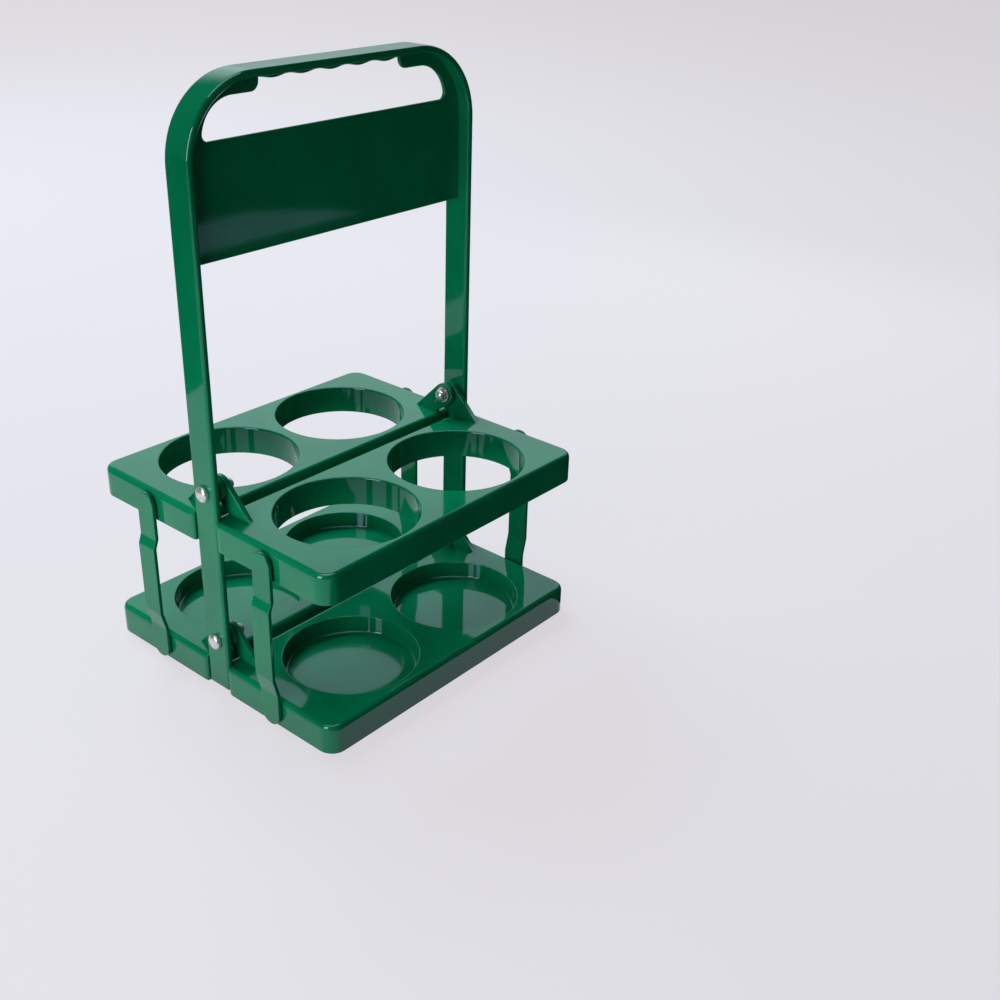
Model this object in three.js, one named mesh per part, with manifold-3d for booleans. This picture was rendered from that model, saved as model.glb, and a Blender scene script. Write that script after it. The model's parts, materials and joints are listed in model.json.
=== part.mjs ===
// Folding four-bottle drink carrier: a strap handle, two hinged halves of two trays each, and the struts
// that keep the trays of a half parallel. Millimetres, Z up, floor at zero, handle in the XZ plane.
// Rear is +Y, front is -Y, left is -X and right is +X.
import * as THREE from "three";
import { mergeVertices } from "three/addons/utils/BufferGeometryUtils.js";
import Module from "manifold-3d";

const wasm = await Module();
wasm.setup();

// General fits
const CLEARANCE = 0.3;
const CUT_OVERRUN = 1;
const JOIN_OVERLAP = 1;
const CURVE_STEPS = 5;
const BEND_STEPS = 9;
const ROUND_STEPS = 3;
const TURN_STEPS = 24;
const BORE_STEPS = 56;

// Handle strap
const HANDLE_WIDTH = 176.4;
const HANDLE_HEIGHT = 295.6;
const STRAP_WIDTH = 15.8;
const STRAP_THICKNESS = 3.6;
const STRAP_CORNER_RADIUS = 37;
const STRAP_EDGE_ROUND = 1.5;
const LEG_END_HEIGHT = 1;

// Web of the handle: banner panel, hand hole and finger grip
const WEB_THICKNESS = 2.4;
const WEB_EDGE_ROUND = 1;
const PANEL_HEIGHT = 51.1;
const HAND_HOLE_DROP = 27.8;
const HAND_HOLE_WIDTH = 148.6;
const HAND_HOLE_END_RADIUS = 17.2;
const HAND_HOLE_FLOOR_RADIUS = 3;
const GRIP_STEP_RADIUS = 4.5;
const GRIP_RIB_DEPTH = 2;
const GRIP_WAVES = 5;
const GRIP_WAVE_PITCH = 17;
const GRIP_WAVE_HEIGHT = 0.55;
const GRIP_WAVE_STEPS = 8;

// Trays
const TRAY_OVERHANG = 1;
const TRAY_WIDTH = 79.9;
const TRAY_HEIGHT = 15.6;
const TRAY_WALL = 2;
const TRAY_CORNER_RADIUS = 8.2;
const TRAY_INNER_RADIUS = 3;
const CAVITY_RADIUS = 0.8;
const TRAY_EDGE_ROUND = 2.6;
const TRAY_SPACING = 81.7;
const SEAM_GAP = 5.6;
const NOTCH_CLEARANCE = 0.4;
const NOTCH_MOUTH_RADIUS = 1.4;
const NOTCH_CORNER_RADIUS = 0.6;

// Bottle bores of the top trays and cups of the bottom trays
const BORE_SPACING = 77.4;
const BORE_INSET = 40.6;
const BORE_RADIUS = 35.2;
const BORE_RIM_ROUND = 1;
const BORE_TUBE_LIFT = 0.4;
const TUBE_WALL = 2;
const CUP_RADIUS = 34.2;
const CUP_RIM_ROUND = 0.6;
const CUP_TAPER = 0.6;
const CUP_DEPTH = 9;
const CUP_FLOOR = 1.8;
const CUP_FLOOR_ROUND = 1.5;
const RIB_THICKNESS = 1.2;
const RIB_DROP = 0.8;
const NUB_SIZE = 1.4;

// Hinge ears and rivets
const PIVOT_LIFT = 12;
const EAR_RADIUS = 6.2;
const EAR_THICKNESS = 2.8;
const EAR_PLAY = 0.6;
const EAR_HEEL = 0.6;
const BOSS_RADIUS = 5.5;
const BOSS_HEIGHT = 1.7;
const RIVET_SHANK_RADIUS = 2;
const RIVET_HEAD_RADIUS = 4;
const RIVET_HEAD_HEIGHT = 2.8;
const RIVET_TAIL_RADIUS = 3.1;
const RIVET_TAIL_HEIGHT = 3.6;
const RIVET_RIM = 1.2;
const WASHER_RADIUS = 4.2;
const WASHER_THICKNESS = 0.8;
const DOME_STEPS = 4;

// Struts and their snap pins
const STRUT_SHIFT = 0.8;
const STRUT_WIDTH = 12.2;
const STRUT_THICKNESS = 2;
const STRUT_END_REACH = 6.6;
const STRUT_STANDOFF = 0.6;
const LOW_JOG = 2.4;
const LOW_JOG_START = 4;
const LOW_JOG_LENGTH = 9.8;
const HIGH_JOG = 1.8;
const HIGH_JOG_START = 9.8;
const HIGH_JOG_LENGTH = 5;
const SHOULDER_RADIUS = 4.6;
const PIN_RADIUS = 2.6;
const PIN_REACH = 5;
const SNAP_LIP = 0.8;
const SNAP_LIP_LENGTH = 1;
const SNAP_TIP_RADIUS = 1.8;
const SNAP_SLOT = 1;

// Places that follow from the sizes
const LEG_OUTER = HANDLE_WIDTH / 2;
const LEG_INNER = LEG_OUTER - STRAP_THICKNESS;
const HAND_HOLE_BOTTOM = HANDLE_HEIGHT - HAND_HOLE_DROP;
const PANEL_BOTTOM = HAND_HOLE_BOTTOM - PANEL_HEIGHT;
const TRAY_END = LEG_OUTER + TRAY_OVERHANG;
const TRAY_INNER = SEAM_GAP / 2;
const TRAY_OUTER = TRAY_INNER + TRAY_WIDTH;
const NOTCH_SIDE = STRAP_WIDTH / 2 + NOTCH_CLEARANCE;
const NOTCH_FLOOR = LEG_INNER - NOTCH_CLEARANCE;
const BORE_X = BORE_SPACING / 2;
const BORE_Y = TRAY_INNER + BORE_INSET;
const STRUT_Y = BORE_Y - STRUT_SHIFT;
const PIVOT_LOW = TRAY_HEIGHT + PIVOT_LIFT;
const PIVOT_HIGH = PIVOT_LOW + TRAY_SPACING;
const OUTER_EAR = LEG_INNER - BOSS_HEIGHT - CLEARANCE;
const INNER_EAR = OUTER_EAR - EAR_THICKNESS - EAR_PLAY;
const STACK_END = INNER_EAR - EAR_THICKNESS;
const SHANK_HOLE_RADIUS = RIVET_SHANK_RADIUS + CLEARANCE;
const PIN_HEIGHT = TRAY_HEIGHT / 2;
const STRUT_LOW = TRAY_END + STRUT_STANDOFF;
const STRUT_MIDDLE = STRUT_LOW + LOW_JOG;
const STRUT_HIGH = STRUT_MIDDLE - HIGH_JOG;

const ACROSS = new THREE.Matrix4().makeBasis(
  new THREE.Vector3(0, 1, 0),
  new THREE.Vector3(0, 0, 1),
  new THREE.Vector3(1, 0, 0),
);
const ALONG = new THREE.Matrix4().makeBasis(
  new THREE.Vector3(1, 0, 0),
  new THREE.Vector3(0, 0, 1),
  new THREE.Vector3(0, -1, 0),
);

// Conversion between three.js geometry and closed solids

function dropThinTriangles(index) {
  const kept = [];
  for (let i = 0; i < index.length; i += 3) {
    const [a, b, c] = [index[i], index[i + 1], index[i + 2]];
    if (a !== b && b !== c && c !== a) {
      kept.push(a, b, c);
    }
  }
  return new Uint32Array(kept);
}

function solid(geometry) {
  const bare = geometry.clone();
  bare.deleteAttribute("normal");
  bare.deleteAttribute("uv");
  const merged = mergeVertices(bare, 1e-4);
  const mesh = new wasm.Mesh({
    numProp: 3,
    vertProperties: new Float32Array(merged.attributes.position.array),
    triVerts: dropThinTriangles(merged.index.array),
  });
  return new wasm.Manifold(mesh);
}

function geometryOf(body) {
  const mesh = body.getMesh();
  const geometry = new THREE.BufferGeometry();
  geometry.setAttribute("position", new THREE.BufferAttribute(new Float32Array(mesh.vertProperties), 3));
  geometry.setIndex(new THREE.BufferAttribute(new Uint32Array(mesh.triVerts), 1));
  geometry.computeVertexNormals();
  return geometry;
}

// Basic solids

function box(x, y, z) {
  const geometry = new THREE.BoxGeometry(x[1] - x[0], y[1] - y[0], z[1] - z[0]);
  geometry.translate((x[0] + x[1]) / 2, (y[0] + y[1]) / 2, (z[0] + z[1]) / 2);
  return solid(geometry);
}

function extrusion(shape, start, end, round = 0, steps = CURVE_STEPS) {
  const geometry = new THREE.ExtrudeGeometry(shape, {
    depth: end - start - 2 * round,
    curveSegments: steps,
    bevelEnabled: round > 0,
    bevelThickness: round,
    bevelSize: round,
    bevelOffset: -round,
    bevelSegments: ROUND_STEPS,
  });
  geometry.translate(0, 0, start + round);
  return geometry;
}

function plateAcross(shape, start, end, round = 0) {
  const geometry = extrusion(shape, start, end, round);
  geometry.applyMatrix4(ACROSS);
  return solid(geometry);
}

function plateAlong(shape, width, round = 0, steps = CURVE_STEPS) {
  const geometry = extrusion(shape, -width / 2, width / 2, round, steps);
  geometry.applyMatrix4(ALONG);
  return solid(geometry);
}

function turned(profile, steps) {
  const points = profile.map(([radius, height]) => new THREE.Vector2(radius, height));
  return new THREE.LatheGeometry(points, steps);
}

function standing(profile, x, y) {
  const geometry = turned(profile, BORE_STEPS);
  geometry.rotateX(Math.PI / 2);
  geometry.translate(x, y, 0);
  return solid(geometry);
}

function pointingOut(profile, side, y, z) {
  const geometry = turned(profile, TURN_STEPS);
  geometry.rotateZ(-side * Math.PI / 2);
  geometry.translate(0, y, z);
  return solid(geometry);
}

function rod(radius, start, end) {
  return [[0, start], [radius, start], [radius, end], [0, end]];
}

function dome(radius, base, height, direction) {
  const points = [];
  for (let i = 0; i <= DOME_STEPS; i += 1) {
    const angle = (i / DOME_STEPS) * (Math.PI / 2);
    const rise = RIVET_RIM + (height - RIVET_RIM) * Math.sin(angle);
    points.push([radius * Math.cos(angle), base + direction * rise]);
  }
  points[DOME_STEPS][0] = 0;
  return points;
}

// Outline with rounded corners, each corner given as x, y and radius, listed anticlockwise

function roundedOutline(corners) {
  const shape = new THREE.Shape();
  corners.forEach(([x, y, radius], i) => {
    const corner = new THREE.Vector2(x, y);
    const before = corners[(i + corners.length - 1) % corners.length];
    const after = corners[(i + 1) % corners.length];
    const arriving = corner.clone().sub(new THREE.Vector2(before[0], before[1])).normalize();
    const leaving = new THREE.Vector2(after[0], after[1]).sub(corner).normalize();
    const turn = Math.sign(arriving.cross(leaving));
    const setback = radius * Math.tan(Math.acos(arriving.dot(leaving)) / 2);
    const normal = new THREE.Vector2(-arriving.y, arriving.x).multiplyScalar(turn);
    const start = corner.clone().addScaledVector(arriving, -setback);
    const end = corner.clone().addScaledVector(leaving, setback);
    const centre = start.clone().addScaledVector(normal, radius);
    const startAngle = start.clone().sub(centre).angle();
    const endAngle = end.clone().sub(centre).angle();
    if (i === 0) {
      shape.moveTo(start.x, start.y);
    } else {
      shape.lineTo(start.x, start.y);
    }
    shape.absarc(centre.x, centre.y, radius, startAngle, endAngle, turn < 0);
  });
  shape.closePath();
  return shape;
}

// Handle

function strapOutline() {
  const inner = STRAP_CORNER_RADIUS - STRAP_THICKNESS;
  const centreX = LEG_OUTER - STRAP_CORNER_RADIUS;
  const centreZ = HANDLE_HEIGHT - STRAP_CORNER_RADIUS;
  const shape = new THREE.Shape();
  shape.moveTo(LEG_INNER, LEG_END_HEIGHT);
  shape.lineTo(LEG_OUTER, LEG_END_HEIGHT);
  shape.absarc(centreX, centreZ, STRAP_CORNER_RADIUS, 0, Math.PI / 2, false);
  shape.absarc(-centreX, centreZ, STRAP_CORNER_RADIUS, Math.PI / 2, Math.PI, false);
  shape.lineTo(-LEG_OUTER, LEG_END_HEIGHT);
  shape.lineTo(-LEG_INNER, LEG_END_HEIGHT);
  shape.absarc(-centreX, centreZ, inner, Math.PI, Math.PI / 2, true);
  shape.absarc(centreX, centreZ, inner, Math.PI / 2, 0, true);
  shape.closePath();
  return shape;
}

function addGripWaves(path, bottom) {
  const half = GRIP_WAVES * GRIP_WAVE_PITCH / 2;
  const steps = GRIP_WAVES * GRIP_WAVE_STEPS;
  for (let i = 0; i <= steps; i += 1) {
    const x = half - (i / GRIP_WAVE_STEPS) * GRIP_WAVE_PITCH;
    const phase = 2 * Math.PI * (i / GRIP_WAVE_STEPS);
    path.lineTo(x, bottom + GRIP_WAVE_HEIGHT * Math.cos(phase));
  }
}

function handHole() {
  const half = HAND_HOLE_WIDTH / 2;
  const big = HAND_HOLE_END_RADIUS;
  const small = HAND_HOLE_FLOOR_RADIUS;
  const grip = GRIP_WAVES * GRIP_WAVE_PITCH / 2;
  const reach = Math.sqrt((big - small) ** 2 - small ** 2);
  const tilt = Math.atan2(small, reach);
  const endX = half - big;
  const cornerX = endX + reach;
  const floor = HAND_HOLE_BOTTOM;
  const shoulder = floor + big;
  const stepX = grip + GRIP_STEP_RADIUS;
  const stepZ = shoulder + GRIP_STEP_RADIUS;
  const path = new THREE.Path();
  path.moveTo(-cornerX, floor);
  path.lineTo(cornerX, floor);
  path.absarc(cornerX, floor + small, small, -Math.PI / 2, tilt, false);
  path.absarc(endX, floor, big, tilt, Math.PI / 2, false);
  path.lineTo(stepX, shoulder);
  path.absarc(stepX, stepZ, GRIP_STEP_RADIUS, -Math.PI / 2, -Math.PI, true);
  addGripWaves(path, HANDLE_HEIGHT - STRAP_THICKNESS - GRIP_RIB_DEPTH);
  path.absarc(-stepX, stepZ, GRIP_STEP_RADIUS, 0, -Math.PI / 2, true);
  path.lineTo(-endX, shoulder);
  path.absarc(-endX, floor, big, Math.PI / 2, Math.PI - tilt, false);
  path.absarc(-cornerX, floor + small, small, Math.PI - tilt, 1.5 * Math.PI, false);
  path.closePath();
  return path;
}

function archOutline(inset) {
  const half = LEG_OUTER - inset;
  const radius = STRAP_CORNER_RADIUS - inset;
  const centreX = LEG_OUTER - STRAP_CORNER_RADIUS;
  const centreZ = HANDLE_HEIGHT - STRAP_CORNER_RADIUS;
  const shape = new THREE.Shape();
  shape.moveTo(-half, LEG_END_HEIGHT);
  shape.lineTo(half, LEG_END_HEIGHT);
  shape.absarc(centreX, centreZ, radius, 0, Math.PI / 2, false);
  shape.absarc(-centreX, centreZ, radius, Math.PI / 2, Math.PI, false);
  shape.closePath();
  return shape;
}

function webOutline() {
  const side = LEG_OUTER + WEB_EDGE_ROUND;
  const top = HANDLE_HEIGHT + WEB_EDGE_ROUND;
  const shape = new THREE.Shape();
  shape.moveTo(-side, PANEL_BOTTOM);
  shape.lineTo(side, PANEL_BOTTOM);
  shape.lineTo(side, top);
  shape.lineTo(-side, top);
  shape.closePath();
  shape.holes.push(handHole());
  return shape;
}

// The web is a larger plate, trimmed along the middle of the strap
function web() {
  const plate = plateAlong(webOutline(), WEB_THICKNESS, WEB_EDGE_ROUND, BEND_STEPS);
  return plate.intersect(plateAlong(archOutline(STRAP_THICKNESS / 2), STRAP_WIDTH, 0, BEND_STEPS));
}

function handle() {
  let body = plateAlong(strapOutline(), STRAP_WIDTH, STRAP_EDGE_ROUND, BEND_STEPS).add(web());
  const bossEnd = LEG_INNER - BOSS_HEIGHT;
  for (const side of [-1, 1]) {
    for (const height of [PIVOT_LOW, PIVOT_HIGH]) {
      const boss = rod(BOSS_RADIUS, bossEnd, LEG_INNER + JOIN_OVERLAP);
      const hole = rod(SHANK_HOLE_RADIUS, bossEnd - CUT_OVERRUN, LEG_OUTER + CUT_OVERRUN);
      body = body.add(pointingOut(boss, side, 0, height));
      body = body.subtract(pointingOut(hole, side, 0, height));
    }
  }
  return body;
}

// Trays, made in the rear position with the floor under them at zero

function blockOutline() {
  const radius = TRAY_CORNER_RADIUS;
  return roundedOutline([
    [-TRAY_END, TRAY_INNER, radius],
    [TRAY_END, TRAY_INNER, radius],
    [TRAY_END, TRAY_OUTER, radius],
    [-TRAY_END, TRAY_OUTER, radius],
  ]);
}

function notchedOutline() {
  const large = TRAY_CORNER_RADIUS;
  const small = TRAY_INNER_RADIUS;
  const mouth = NOTCH_MOUTH_RADIUS;
  const corner = NOTCH_CORNER_RADIUS;
  return roundedOutline([
    [-NOTCH_FLOOR, TRAY_INNER, small],
    [NOTCH_FLOOR, TRAY_INNER, small],
    [NOTCH_FLOOR, NOTCH_SIDE, corner],
    [TRAY_END, NOTCH_SIDE, mouth],
    [TRAY_END, TRAY_OUTER, large],
    [-TRAY_END, TRAY_OUTER, large],
    [-TRAY_END, NOTCH_SIDE, mouth],
    [-NOTCH_FLOOR, NOTCH_SIDE, corner],
  ]);
}

function cavityOutline() {
  const end = TRAY_END - TRAY_WALL;
  const notch = NOTCH_FLOOR - TRAY_WALL;
  const inner = TRAY_INNER + TRAY_WALL;
  const side = NOTCH_SIDE + TRAY_WALL;
  const outer = TRAY_OUTER - TRAY_WALL;
  const large = TRAY_CORNER_RADIUS - TRAY_WALL;
  const small = CAVITY_RADIUS;
  return roundedOutline([
    [-notch, inner, small],
    [notch, inner, small],
    [notch, side, small],
    [end, side, small],
    [end, outer, large],
    [-end, outer, large],
    [-end, side, small],
    [-notch, side, small],
  ]);
}

function trayShell() {
  const drop = TRAY_EDGE_ROUND + CUT_OVERRUN;
  const reach = HANDLE_WIDTH;
  const block = solid(extrusion(blockOutline(), -drop, TRAY_HEIGHT, TRAY_EDGE_ROUND));
  const notched = solid(extrusion(notchedOutline(), -drop, TRAY_HEIGHT + CUT_OVERRUN));
  const inside = solid(extrusion(cavityOutline(), -CUT_OVERRUN, TRAY_HEIGHT - TRAY_WALL));
  const below = box([-reach, reach], [-reach, reach], [-2 * drop, 0]);
  return block.intersect(notched).subtract(below).subtract(inside);
}

function earOutline(base) {
  const heelY = TRAY_INNER + TRAY_EDGE_ROUND + EAR_HEEL;
  const drop = PIVOT_LIFT;
  const distance = Math.hypot(heelY, drop);
  const heelAngle = Math.atan2(-drop, heelY) - Math.acos(EAR_RADIUS / distance);
  const toe = EAR_RADIUS * Math.SQRT2 + drop;
  const pivot = TRAY_HEIGHT + PIVOT_LIFT;
  const shape = new THREE.Shape();
  shape.moveTo(heelY, base);
  shape.lineTo(toe + TRAY_HEIGHT - base, base);
  shape.absarc(0, pivot, EAR_RADIUS, Math.PI / 4, heelAngle + 2 * Math.PI, false);
  shape.lineTo(heelY, TRAY_HEIGHT);
  shape.closePath();
  return shape;
}

function ear(outerFace, side) {
  const span = [outerFace - EAR_THICKNESS, outerFace];
  const [start, end] = side > 0 ? span : [-span[1], -span[0]];
  const plate = plateAcross(earOutline(TRAY_HEIGHT - JOIN_OVERLAP), start, end);
  const hole = rod(SHANK_HOLE_RADIUS, span[0] - CUT_OVERRUN, span[1] + CUT_OVERRUN);
  return plate.subtract(pointingOut(hole, side, 0, TRAY_HEIGHT + PIVOT_LIFT));
}

function addEarsAndPinHoles(shell) {
  let body = shell.add(ear(OUTER_EAR, -1)).add(ear(INNER_EAR, 1));
  const hole = rod(PIN_RADIUS + CLEARANCE, TRAY_END - TRAY_WALL - CUT_OVERRUN, TRAY_END + CUT_OVERRUN);
  for (const side of [-1, 1]) {
    body = body.subtract(pointingOut(hole, side, STRUT_Y, PIN_HEIGHT));
  }
  return body;
}

function rimCutter(radius, round, foot) {
  const profile = [...foot];
  for (let i = 0; i <= ROUND_STEPS; i += 1) {
    const angle = (i / ROUND_STEPS) * (Math.PI / 2);
    const inward = round * (1 - Math.cos(angle));
    profile.push([radius + inward, TRAY_HEIGHT - round + round * Math.sin(angle)]);
  }
  profile.push([radius + round, TRAY_HEIGHT + CUT_OVERRUN], [0, TRAY_HEIGHT + CUT_OVERRUN]);
  return profile;
}

function topTray() {
  let body = addEarsAndPinHoles(trayShell());
  const bottom = BORE_TUBE_LIFT;
  const tube = rod(BORE_RADIUS + TUBE_WALL, bottom, TRAY_HEIGHT - JOIN_OVERLAP);
  const foot = [[0, bottom - CUT_OVERRUN], [BORE_RADIUS, bottom - CUT_OVERRUN]];
  const bore = rimCutter(BORE_RADIUS, BORE_RIM_ROUND, foot);
  for (const side of [-1, 1]) {
    body = body.add(standing(tube, side * BORE_X, BORE_Y));
    body = body.subtract(standing(bore, side * BORE_X, BORE_Y));
  }
  return body;
}

function bottomTrayRibs() {
  const floor = TRAY_HEIGHT - CUP_DEPTH - CUP_FLOOR;
  const heights = [floor + RIB_DROP, TRAY_HEIGHT - JOIN_OVERLAP];
  const half = RIB_THICKNESS / 2;
  const cup = CUP_RADIUS + TUBE_WALL / 2;
  const middle = BORE_X - cup;
  const wall = TRAY_WALL / 2;
  const ribs = [box([-middle, middle], [BORE_Y - half, BORE_Y + half], heights)];
  for (const x of [-BORE_X, BORE_X]) {
    ribs.push(box([x - half, x + half], [TRAY_INNER + wall, BORE_Y - cup], heights));
    ribs.push(box([x - half, x + half], [BORE_Y + cup, TRAY_OUTER - wall], heights));
  }
  const nub = [TRAY_INNER - NUB_SIZE, TRAY_INNER + wall];
  ribs.push(box([-NUB_SIZE / 2, NUB_SIZE / 2], nub, [0, 2 * NUB_SIZE]));
  return ribs;
}

function cupFoot(radius, floor) {
  const foot = [[0, floor]];
  for (let i = 0; i <= ROUND_STEPS; i += 1) {
    const angle = (i / ROUND_STEPS) * (Math.PI / 2);
    const inward = CUP_FLOOR_ROUND * (1 - Math.sin(angle));
    foot.push([radius - inward, floor + CUP_FLOOR_ROUND * (1 - Math.cos(angle))]);
  }
  return foot;
}

function bottomTray() {
  let body = addEarsAndPinHoles(trayShell());
  const inside = TRAY_HEIGHT - CUP_DEPTH;
  const foot = CUP_RADIUS - CUP_TAPER;
  const cup = [
    [0, inside - CUP_FLOOR],
    [foot + TUBE_WALL, inside - CUP_FLOOR],
    [CUP_RADIUS + TUBE_WALL, TRAY_HEIGHT - JOIN_OVERLAP],
    [0, TRAY_HEIGHT - JOIN_OVERLAP],
  ];
  const hollow = rimCutter(CUP_RADIUS, CUP_RIM_ROUND, cupFoot(foot, inside));
  for (const rib of bottomTrayRibs()) {
    body = body.add(rib);
  }
  for (const side of [-1, 1]) {
    body = body.add(standing(cup, side * BORE_X, BORE_Y));
    body = body.subtract(standing(hollow, side * BORE_X, BORE_Y));
  }
  return body;
}

// Struts, made at the right end of the rear half

function strutSideOutline(low, high) {
  const lowJog = TRAY_HEIGHT + LOW_JOG_START;
  const highJog = TRAY_SPACING - HIGH_JOG_START;
  const inner = [
    [STRUT_LOW, low],
    [STRUT_LOW, lowJog],
    [STRUT_MIDDLE, lowJog + LOW_JOG_LENGTH],
    [STRUT_MIDDLE, highJog - HIGH_JOG_LENGTH],
    [STRUT_HIGH, highJog],
    [STRUT_HIGH, high],
  ];
  const outer = inner.map(([x, z]) => [x + STRUT_THICKNESS, z]).reverse();
  return new THREE.Shape(inner.concat(outer).map(([x, z]) => new THREE.Vector2(x, z)));
}

function strutFaceOutline(low, high) {
  const radius = STRUT_WIDTH / 2;
  const shape = new THREE.Shape();
  shape.absarc(STRUT_Y, low + radius, radius, Math.PI, 2 * Math.PI, false);
  shape.absarc(STRUT_Y, high - radius, radius, 0, Math.PI, false);
  shape.closePath();
  return shape;
}

function snapPinProfile(strutFace) {
  const lip = TRAY_END - TRAY_WALL - CLEARANCE;
  const tip = TRAY_END - TRAY_WALL - PIN_REACH;
  const shoulder = TRAY_END + CLEARANCE;
  const root = strutFace + JOIN_OVERLAP;
  return [
    [0, tip],
    [SNAP_TIP_RADIUS, tip],
    [PIN_RADIUS + SNAP_LIP, lip - SNAP_LIP_LENGTH],
    [PIN_RADIUS + SNAP_LIP, lip],
    [PIN_RADIUS, lip],
    [PIN_RADIUS, shoulder],
    [SHOULDER_RADIUS, shoulder],
    [SHOULDER_RADIUS, root],
    [0, root],
  ];
}

function strutPin(strutFace, height) {
  const start = TRAY_END - TRAY_WALL - PIN_REACH - CUT_OVERRUN;
  const half = SNAP_SLOT / 2;
  const reach = PIN_RADIUS + SNAP_LIP + CUT_OVERRUN;
  const slotX = [start, TRAY_END - TRAY_WALL];
  const slot = box(slotX, [STRUT_Y - half, STRUT_Y + half], [height - reach, height + reach]);
  return pointingOut(snapPinProfile(strutFace), 1, STRUT_Y, height).subtract(slot);
}

function strut() {
  const low = PIN_HEIGHT - STRUT_END_REACH;
  const high = PIN_HEIGHT + TRAY_SPACING + STRUT_END_REACH;
  const face = strutFaceOutline(low, high);
  const reach = STRUT_Y + STRUT_WIDTH;
  const side = plateAlong(strutSideOutline(low, high), 2 * reach);
  const bar = side.intersect(plateAcross(face, TRAY_END, STRUT_MIDDLE + STRUT_THICKNESS + CUT_OVERRUN));
  const pinned = bar.add(strutPin(STRUT_LOW, PIN_HEIGHT));
  return pinned.add(strutPin(STRUT_HIGH, PIN_HEIGHT + TRAY_SPACING));
}

// Rivets and washers

function rivetProfile() {
  const headBase = LEG_OUTER + CLEARANCE;
  const tailBase = STACK_END - WASHER_THICKNESS - 2 * CLEARANCE;
  const tail = dome(RIVET_TAIL_RADIUS, tailBase, RIVET_TAIL_HEIGHT, -1).reverse();
  const head = dome(RIVET_HEAD_RADIUS, headBase, RIVET_HEAD_HEIGHT, 1);
  return [
    ...tail,
    [RIVET_TAIL_RADIUS, tailBase],
    [RIVET_SHANK_RADIUS, tailBase],
    [RIVET_SHANK_RADIUS, headBase],
    [RIVET_HEAD_RADIUS, headBase],
    ...head,
  ];
}

function washerProfile() {
  const outer = STACK_END - CLEARANCE;
  const inner = outer - WASHER_THICKNESS;
  const hole = SHANK_HOLE_RADIUS;
  return [[hole, inner], [WASHER_RADIUS, inner], [WASHER_RADIUS, outer], [hole, outer], [hole, inner]];
}

// Assembly

const GREEN = { color: 0x0b6b47, roughness: 0.25, metalness: 0 };
const STEEL = { color: 0xc4c6c8, roughness: 0.25, metalness: 1 };
const group = new THREE.Group();

function addPiece(name, body, look, turn = 0, lift = 0) {
  const geometry = geometryOf(body);
  geometry.rotateZ(turn);
  geometry.translate(0, 0, lift);
  const mesh = new THREE.Mesh(geometry, new THREE.MeshStandardMaterial(look));
  mesh.name = name;
  group.add(mesh);
}

addPiece("handle", handle(), GREEN);
addPiece("top_tray_front", topTray(), GREEN, Math.PI, TRAY_SPACING);
addPiece("top_tray_rear", topTray(), GREEN, 0, TRAY_SPACING);
addPiece("bottom_tray_front", bottomTray(), GREEN, Math.PI);
addPiece("bottom_tray_rear", bottomTray(), GREEN);

function mirroredStrut() {
  return strut().mirror([1, 0, 0]);
}

addPiece("strut_rear_right", strut(), GREEN);
addPiece("strut_rear_left", mirroredStrut(), GREEN);
addPiece("strut_front_left", strut(), GREEN, Math.PI);
addPiece("strut_front_right", mirroredStrut(), GREEN, Math.PI);

for (const [level, height] of [["top", PIVOT_HIGH], ["bottom", PIVOT_LOW]]) {
  for (const [end, side] of [["left", -1], ["right", 1]]) {
    addPiece(`rivet_${level}_${end}`, pointingOut(rivetProfile(), side, 0, height), STEEL);
    addPiece(`washer_${level}_${end}`, pointingOut(washerProfile(), side, 0, height), STEEL);
  }
}

export default group;
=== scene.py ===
"""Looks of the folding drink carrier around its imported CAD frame. Metres, Z up, same frame as the CAD."""
import json
from math import degrees, radians

import bmesh
import bpy
from mathutils import Matrix, Vector

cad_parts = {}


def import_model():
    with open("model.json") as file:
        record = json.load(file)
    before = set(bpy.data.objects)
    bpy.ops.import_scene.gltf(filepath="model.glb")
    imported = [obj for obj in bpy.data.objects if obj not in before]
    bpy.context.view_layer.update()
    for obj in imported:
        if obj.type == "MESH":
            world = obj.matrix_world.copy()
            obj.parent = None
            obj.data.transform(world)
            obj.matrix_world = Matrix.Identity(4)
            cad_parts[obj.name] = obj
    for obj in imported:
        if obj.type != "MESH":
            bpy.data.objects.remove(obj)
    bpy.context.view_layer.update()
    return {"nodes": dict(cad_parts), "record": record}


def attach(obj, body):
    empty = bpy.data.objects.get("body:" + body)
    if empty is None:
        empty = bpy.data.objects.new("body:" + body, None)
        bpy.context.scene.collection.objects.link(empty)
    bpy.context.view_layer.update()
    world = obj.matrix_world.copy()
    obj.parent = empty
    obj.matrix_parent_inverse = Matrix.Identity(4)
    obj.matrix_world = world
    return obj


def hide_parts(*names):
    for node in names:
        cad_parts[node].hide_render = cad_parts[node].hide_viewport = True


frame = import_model()

# Camera, at the photograph's place and angle; lens and sensor in millimetres
CAMERA_PLACE = (-0.40865, -0.44052, 0.38692)
CAMERA_RIGHT = (0.64567, -0.76305, 0.02941)
CAMERA_UP = (0.33713, 0.31940, 0.88562)
CAMERA_LENS = 46.257
CAMERA_SENSOR = 36
CAMERA_NEAR = 0.01
CAMERA_FAR = 50

# Rounding of the edges that the CAD leaves sharp, and of the bends in the struts; angles in degrees
EDGE_ROUND = {"strut": 0.0004, "rivet": 0.00012, "washer": 0.00012}
EDGE_ROUND_OTHER = 0.0003
ROUND_STEPS = 2
SHARP_ANGLE = 50
BEND_ANGLE = 8
BEND_LENGTH = 0.008
BEND_SKEW = 1e-6
BEND_ROUND = 0.0006
SAME_POINT = 2e-6
FLAT_ANGLE = 0.6
NORMAL_WEIGHT = 50

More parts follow.
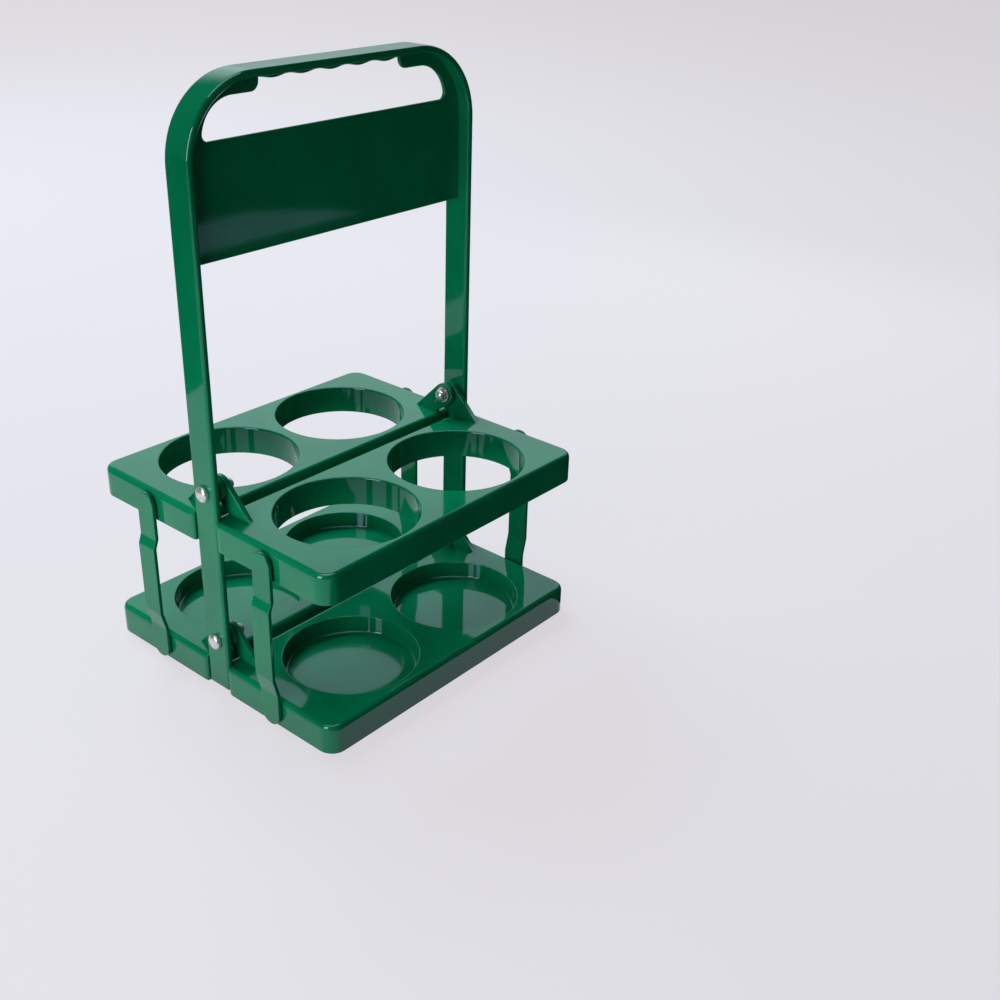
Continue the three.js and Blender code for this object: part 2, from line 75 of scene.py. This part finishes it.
# Colours, linear
GREEN_DEEP = (0.0004, 0.124, 0.049, 1)
GREEN_FRESH = (0.0010, 0.158, 0.062, 1)
PLASTIC_REFLECTION = (0.55, 0.80, 1.0, 1)
STEEL_DARK = (0.50, 0.50, 0.51, 1)
STEEL_LIGHT = (0.72, 0.72, 0.72, 1)
FLOOR = (0.716, 0.690, 0.722, 1)
FLOOR_BOUNCE = (0.30, 0.30, 0.31, 1)
CARD_DARK = (0.004, 0.004, 0.004, 1)
CARD_PALE = (0.9, 0.9, 0.9, 1)
STUDIO_AIR = (0.95, 0.97, 1.0, 1)

# Range that most of a noise's values fall in
NOISE_LOW = 0.3
NOISE_HIGH = 0.7

# Floor: half its width, its height, its glow and how much of what is seen of it is glow
FLOOR_REACH = 9
FLOOR_HEIGHT = -0.0002
FLOOR_GLOW = 1.08
FLOOR_GLOW_SHARE = 0.84

# Cards over the floor: the height of the uppermost, the steps between them, and their edges and corners
CARD_HEIGHT = 0.0006
CARD_STEP = 0.00005
PALE_CARD = [(0.30, -0.58), (0.58, -0.585), (0.555, -0.62), (0.495, -0.675), (0.45, -0.675), (0.30, -0.64)]
FRONT_CARD_REAR = -0.108
FRONT_CARD_NOTCH = (-0.15, -0.7)
RIGHT_CARD_LEFT = 0.092
RIGHT_CARD_FRONT = -0.11
RIGHT_CARD_REAR = 0.3
LEFT_CARD_CORNER = (-0.12, 0.315)

# Softbox at the rear right: it dies away over these widths at one side and at the top, and is dimmer low down
SOFTBOX_PLACE = (1.50, 1.25, 1.00)
SOFTBOX_SIZE = (3.2, 2.1)
SOFTBOX_SIDE_FADE = 0.6
SOFTBOX_TOP_FADE = 0.7
SOFTBOX_LOW_LEVEL = 0.52
SOFTBOX_COLOUR = (0.86, 0.92, 1.0, 1)
SOFTBOX_STRENGTH = 1.18

# Point amid the object that most of the lights face
LIGHT_AIM = (0, 0, 0.12)

# World: how bright it is for the object, and where the camera sees it
WORLD_DIM = 0.03
WORLD_PALE = 0.93


# Shader nodes

def new_material(name):
    material = bpy.data.materials.new(name)
    material.use_nodes = True
    nodes = material.node_tree.nodes
    nodes.clear()
    return material, nodes, material.node_tree.links


def add(nodes, kind, **values):
    """A new node with the given settings, and the given values on its inputs."""
    node = nodes.new(kind)
    for key, value in values.items():
        if hasattr(node, key):
            setattr(node, key, value)
        else:
            node.inputs[key.replace("_", " ")].default_value = value
    return node


def noise(nodes, links, coords, scale, detail=3.0, roughness=0.55):
    node = add(nodes, "ShaderNodeTexNoise", Scale=scale, Detail=detail, Roughness=roughness)
    links.new(coords.outputs["Object"], node.inputs["Vector"])
    return node.outputs["Fac"]


def blend(nodes, links, source, low, high):
    """A colour that follows a noise from the low colour to the high one."""
    node = nodes.new("ShaderNodeValToRGB")
    first, last = node.color_ramp.elements
    first.position, first.color = NOISE_LOW, low
    last.position, last.color = NOISE_HIGH, high
    links.new(source, node.inputs["Fac"])
    return node.outputs["Color"]


def remap(nodes, links, source, start, end, first, last, curve="LINEAR"):
    """A level that goes from the first value to the last while the source goes from start to end."""
    node = add(nodes, "ShaderNodeMapRange", interpolation_type=curve,
               From_Min=start, From_Max=end, To_Min=first, To_Max=last)
    links.new(source, node.inputs["Value"])
    return node.outputs["Result"]


def combine(nodes, links, operation, first, second):
    node = add(nodes, "ShaderNodeMath", operation=operation)
    links.new(first, node.inputs[0])
    links.new(second, node.inputs[1])
    return node.outputs["Value"]


def bump(nodes, links, height, strength, distance, before=None):
    node = add(nodes, "ShaderNodeBump", Strength=strength, Distance=distance)
    links.new(height, node.inputs["Height"])
    if before is not None:
        links.new(before, node.inputs["Normal"])
    return node.outputs["Normal"]


def mix(nodes, links, first, second):
    node = nodes.new("ShaderNodeMixShader")
    links.new(first, node.inputs[1])
    links.new(second, node.inputs[2])
    return node


def show(nodes, links, shader, kind="ShaderNodeOutputMaterial"):
    out = nodes.new(kind)
    links.new(shader, out.inputs["Surface"])


def show_surface(nodes, links, shader, colour, rough, normal):
    links.new(colour, shader.inputs["Base Color"])
    links.new(rough, shader.inputs["Roughness"])
    links.new(normal, shader.inputs["Normal"])
    show(nodes, links, shader.outputs["BSDF"])


# Materials of the object

def plastic():
    """Glossy moulded plastic: slow colour drift, faint flow marks, fine grain and rubbed patches."""
    material, nodes, links = new_material("green_moulded_plastic")
    coords = nodes.new("ShaderNodeTexCoord")
    drift = noise(nodes, links, coords, scale=24.0)
    scuffs = noise(nodes, links, coords, scale=210.0, detail=6.0, roughness=0.7)
    grain = noise(nodes, links, coords, scale=1500.0, detail=2.0)
    flow = noise(nodes, links, coords, scale=14.0, detail=1.0)
    colour = blend(nodes, links, drift, GREEN_DEEP, GREEN_FRESH)
    rough = remap(nodes, links, scuffs, NOISE_LOW, NOISE_HIGH, first=0.03, last=0.075)
    waves = bump(nodes, links, flow, strength=0.10, distance=0.0006)
    skin = bump(nodes, links, grain, strength=0.012, distance=0.00004, before=waves)
    shader = add(nodes, "ShaderNodeBsdfPrincipled", IOR=1.53, Specular_Tint=PLASTIC_REFLECTION)
    show_surface(nodes, links, shader, colour, rough, skin)
    return material


def steel():
    """Bright plated steel with tooling marks and a dull bloom in places."""
    material, nodes, links = new_material("rivet_plated_steel")
    coords = nodes.new("ShaderNodeTexCoord")
    bloom = noise(nodes, links, coords, scale=420.0, detail=4.0)
    marks = noise(nodes, links, coords, scale=2600.0, detail=2.0)
    colour = blend(nodes, links, bloom, STEEL_DARK, STEEL_LIGHT)
    rough = remap(nodes, links, bloom, NOISE_LOW, NOISE_HIGH, first=0.16, last=0.34)
    dents = bump(nodes, links, marks, strength=0.10, distance=0.00008)
    shader = add(nodes, "ShaderNodeBsdfPrincipled", Metallic=0.75)
    show_surface(nodes, links, shader, colour, rough, dents)
    return material


# Pieces: each CAD node with its edges rounded and its shading smoothed

def fold(edge):
    """Angle between the two faces at an edge, in degrees."""
    return degrees(edge.calc_face_angle(0.0))


def is_bend(edge):
    """Whether this is a line across a flat bar where the bar changes direction."""
    run = edge.verts[1].co - edge.verts[0].co
    across = abs(run.y) > BEND_LENGTH and run.length - abs(run.y) < BEND_SKEW
    return across and BEND_ANGLE < fold(edge) < SHARP_ANGLE


def round_off(mesh, edges, width):
    bmesh.ops.bevel(mesh, geom=edges, offset=width, offset_type="OFFSET",
                    segments=ROUND_STEPS, profile=0.5, affect="EDGES")


def rounded_mesh(source, width):
    mesh = bmesh.new()
    mesh.from_mesh(source.data)
    bmesh.ops.remove_doubles(mesh, verts=mesh.verts, dist=SAME_POINT)
    round_off(mesh, [edge for edge in mesh.edges if edge.is_convex and fold(edge) > SHARP_ANGLE], width)
    round_off(mesh, [edge for edge in mesh.edges if is_bend(edge)], BEND_ROUND)
    bmesh.ops.dissolve_limit(mesh, angle_limit=radians(FLAT_ANGLE), verts=mesh.verts, edges=mesh.edges)
    for face in mesh.faces:
        face.smooth = True
    for edge in mesh.edges:
        edge.smooth = fold(edge) < SHARP_ANGLE
    return mesh


def finish_node(node, body, material):
    source = frame["nodes"][node]
    kind = node.split("_")[0]
    rounded = rounded_mesh(source, EDGE_ROUND.get(kind, EDGE_ROUND_OTHER))
    data = bpy.data.meshes.new(node + "_finish")
    rounded.to_mesh(data)
    rounded.free()
    piece = bpy.data.objects.new(node + "_finish", data)
    bpy.context.scene.collection.objects.link(piece)
    data.materials.append(material)
    normals = piece.modifiers.new("even_shading", "WEIGHTED_NORMAL")
    normals.weight = NORMAL_WEIGHT
    normals.keep_sharp = True
    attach(piece, body)
    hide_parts(node)


def dress():
    green, bright = plastic(), steel()
    for body, nodes in frame["record"]["behaviour"]["bodies"].items():
        for node in nodes:
            metal = node.startswith(("rivet", "washer"))
            finish_node(node, body, bright if metal else green)


# Floor, and the cards and softbox that only reflections see

def floor_material():
    """Pale floor: glows where it is seen, so that it stays even, and is lit too, for the object's shadow."""
    material, nodes, links = new_material("pale_floor")
    rays = nodes.new("ShaderNodeLightPath").outputs
    seen = combine(nodes, links, "MAXIMUM", rays["Is Camera Ray"], rays["Is Glossy Ray"])
    seen = combine(nodes, links, "MAXIMUM", seen, rays["Is Transmission Ray"])
    lit = add(nodes, "ShaderNodeBsdfDiffuse", Color=FLOOR)
    bounce = add(nodes, "ShaderNodeBsdfDiffuse", Color=FLOOR_BOUNCE)
    glow = add(nodes, "ShaderNodeEmission", Color=FLOOR, Strength=FLOOR_GLOW)
    even = mix(nodes, links, lit.outputs["BSDF"], glow.outputs["Emission"])
    even.inputs["Fac"].default_value = FLOOR_GLOW_SHARE
    choice = mix(nodes, links, bounce.outputs["BSDF"], even.outputs["Shader"])
    links.new(seen, choice.inputs["Fac"])
    show(nodes, links, choice.outputs["Shader"])
    return material


def card_material(name, colour):
    material, nodes, links = new_material(name)
    cloth = add(nodes, "ShaderNodeBsdfDiffuse", Color=colour)
    show(nodes, links, cloth.outputs["BSDF"])
    return material


def softbox_material():
    """Even in the middle, dimmer towards the floor, dying away at the side and at the top."""
    material, nodes, links = new_material("softbox")
    half_width, half_height = SOFTBOX_SIZE[0] / 2, SOFTBOX_SIZE[1] / 2
    coords = nodes.new("ShaderNodeTexCoord")
    parts = nodes.new("ShaderNodeSeparateXYZ")
    links.new(coords.outputs["Object"], parts.inputs["Vector"])
    across, up = parts.outputs["X"], parts.outputs["Y"]
    side_end, top_start = SOFTBOX_SIDE_FADE - half_width, half_height - SOFTBOX_TOP_FADE
    side = remap(nodes, links, across, -half_width, side_end, 0.0, SOFTBOX_STRENGTH, curve="SMOOTHSTEP")
    low = remap(nodes, links, up, -half_height / 2, 0.0, SOFTBOX_LOW_LEVEL, 1.0, curve="SMOOTHSTEP")
    high = remap(nodes, links, up, top_start, half_height, 1.0, 0.0, curve="SMOOTHSTEP")
    level = combine(nodes, links, "MULTIPLY", side, combine(nodes, links, "MULTIPLY", low, high))
    glow = add(nodes, "ShaderNodeEmission", Color=SOFTBOX_COLOUR)
    links.new(level, glow.inputs["Strength"])
    show(nodes, links, glow.outputs["Emission"])
    return material


def rectangle(left, front, right, rear):
    return [(left, front), (right, front), (right, rear), (left, rear)]


def sheet(name, outline, height, material):
    corners = [(x, y, height) for x, y in outline]
    data = bpy.data.meshes.new(name)
    data.from_pydata(corners, [], [range(len(corners))])
    data.materials.append(material)
    piece = bpy.data.objects.new(name, data)
    bpy.context.scene.collection.objects.link(piece)
    return piece


def only_reflected(piece):
    piece.visible_camera = False
    piece.visible_diffuse = False
    piece.visible_shadow = False
    piece.visible_transmission = False


def face_towards(thing, place, aim):
    thing.location = place
    thing.rotation_mode = "QUATERNION"
    thing.rotation_quaternion = (Vector(aim) - Vector(place)).to_track_quat("-Z", "Y")


def floor():
    outline = rectangle(-FLOOR_REACH, -FLOOR_REACH, FLOOR_REACH, FLOOR_REACH)
    sheet("floor", outline, FLOOR_HEIGHT, floor_material())


def cards():
    """Cards over the floor for the glossy faces to mirror, each just under the one before it."""
    dark, pale = card_material("dark_card", CARD_DARK), card_material("pale_card", CARD_PALE)
    reach = FLOOR_REACH
    notch_x, notch_y = FRONT_CARD_NOTCH
    front = [(-reach, -reach), (reach, -reach), (reach, FRONT_CARD_REAR),
             (notch_x, FRONT_CARD_REAR), (notch_x, notch_y), (-reach, notch_y)]
    right = rectangle(RIGHT_CARD_LEFT, RIGHT_CARD_FRONT, reach, RIGHT_CARD_REAR)
    left = rectangle(-reach, LEFT_CARD_CORNER[1], LEFT_CARD_CORNER[0], reach)
    layers = [("card_pale", PALE_CARD, pale), ("card_front", front, dark),
              ("card_right", right, dark), ("card_left", left, dark)]
    for number, (name, outline, material) in enumerate(layers):
        only_reflected(sheet(name, outline, CARD_HEIGHT - number * CARD_STEP, material))


def softbox():
    half_width, half_height = SOFTBOX_SIZE[0] / 2, SOFTBOX_SIZE[1] / 2
    outline = rectangle(-half_width, -half_height, half_width, half_height)
    box = sheet("softbox", outline, 0, softbox_material())
    face_towards(box, SOFTBOX_PLACE, LIGHT_AIM)
    only_reflected(box)


# Lamps, world and camera

def lamp(name, place, aim, size, power, colour=(1, 1, 1), spread=180, diffuse=True, glossy=True):
    data = bpy.data.lights.new(name, "AREA")
    data.shape = "RECTANGLE"
    data.size, data.size_y = size
    data.energy = power
    data.color = colour
    data.spread = radians(spread)
    light = bpy.data.objects.new(name, data)
    face_towards(light, place, aim)
    light.visible_diffuse = diffuse
    light.visible_glossy = glossy
    light.visible_camera = False
    bpy.context.scene.collection.objects.link(light)


def lamps():
    """Soft lamps that make no highlights, and two that make only highlights."""
    lamp("rear_soft", place=(0.15, 1.15, 1.3), aim=LIGHT_AIM, size=(1.2, 0.9), power=46.0,
         colour=(0.62, 0.85, 1.0), glossy=False)
    lamp("far_soft", place=(1.1, 2.2, 1.6), aim=(1.1, 2.2, 0), size=(1.6, 1.6), power=27.0,
         colour=(0.9, 0.96, 1.0), glossy=False)
    lamp("left_soft", place=(-0.62, -0.14, 0.42), aim=LIGHT_AIM, size=(0.5, 0.3), power=1.95, glossy=False)
    lamp("left_low", place=(-0.40, -0.06, 0.06), aim=(0, -0.06, 0.11), size=(0.6, 0.10), power=0.36,
         spread=80, glossy=False)
    lamp("right_soft", place=(0.75, 0.10, 0.40), aim=LIGHT_AIM, size=(0.6, 0.4), power=1.6, glossy=False)
    lamp("left_glint", place=(-0.80, -0.10, 0.48), aim=LIGHT_AIM, size=(0.35, 0.5), power=5.0, diffuse=False)
    lamp("top_glint", place=(0.05, 0.05, 1.7), aim=(0.05, 0.05, 0), size=(1.2, 1.2), power=14.0,
         diffuse=False)


def world():
    """Dim all round, and as pale as the floor where the camera looks past it."""
    scene_world = bpy.data.worlds.new("studio")
    scene_world.use_nodes = True
    nodes, links = scene_world.node_tree.nodes, scene_world.node_tree.links
    nodes.clear()
    rays = nodes.new("ShaderNodeLightPath").outputs
    dim = add(nodes, "ShaderNodeBackground", Color=STUDIO_AIR, Strength=WORLD_DIM)
    pale = add(nodes, "ShaderNodeBackground", Color=FLOOR, Strength=WORLD_PALE)
    choice = mix(nodes, links, dim.outputs["Background"], pale.outputs["Background"])
    links.new(rays["Is Camera Ray"], choice.inputs["Fac"])
    show(nodes, links, choice.outputs["Shader"], kind="ShaderNodeOutputWorld")
    bpy.context.scene.world = scene_world


def camera():
    data = bpy.data.cameras.new("photo_camera")
    data.sensor_width = CAMERA_SENSOR
    data.lens = CAMERA_LENS
    data.clip_start, data.clip_end = CAMERA_NEAR, CAMERA_FAR
    eye = bpy.data.objects.new("photo_camera", data)
    right, up = Vector(CAMERA_RIGHT), Vector(CAMERA_UP)
    turn = Matrix((right, up, right.cross(up))).transposed().to_4x4()
    eye.matrix_world = Matrix.Translation(CAMERA_PLACE) @ turn
    bpy.context.scene.collection.objects.link(eye)
    bpy.context.scene.camera = eye


def studio():
    floor()
    cards()
    softbox()
    lamps()
    world()
    camera()
    bpy.context.scene.view_settings.view_transform = "Standard"


dress()
studio()
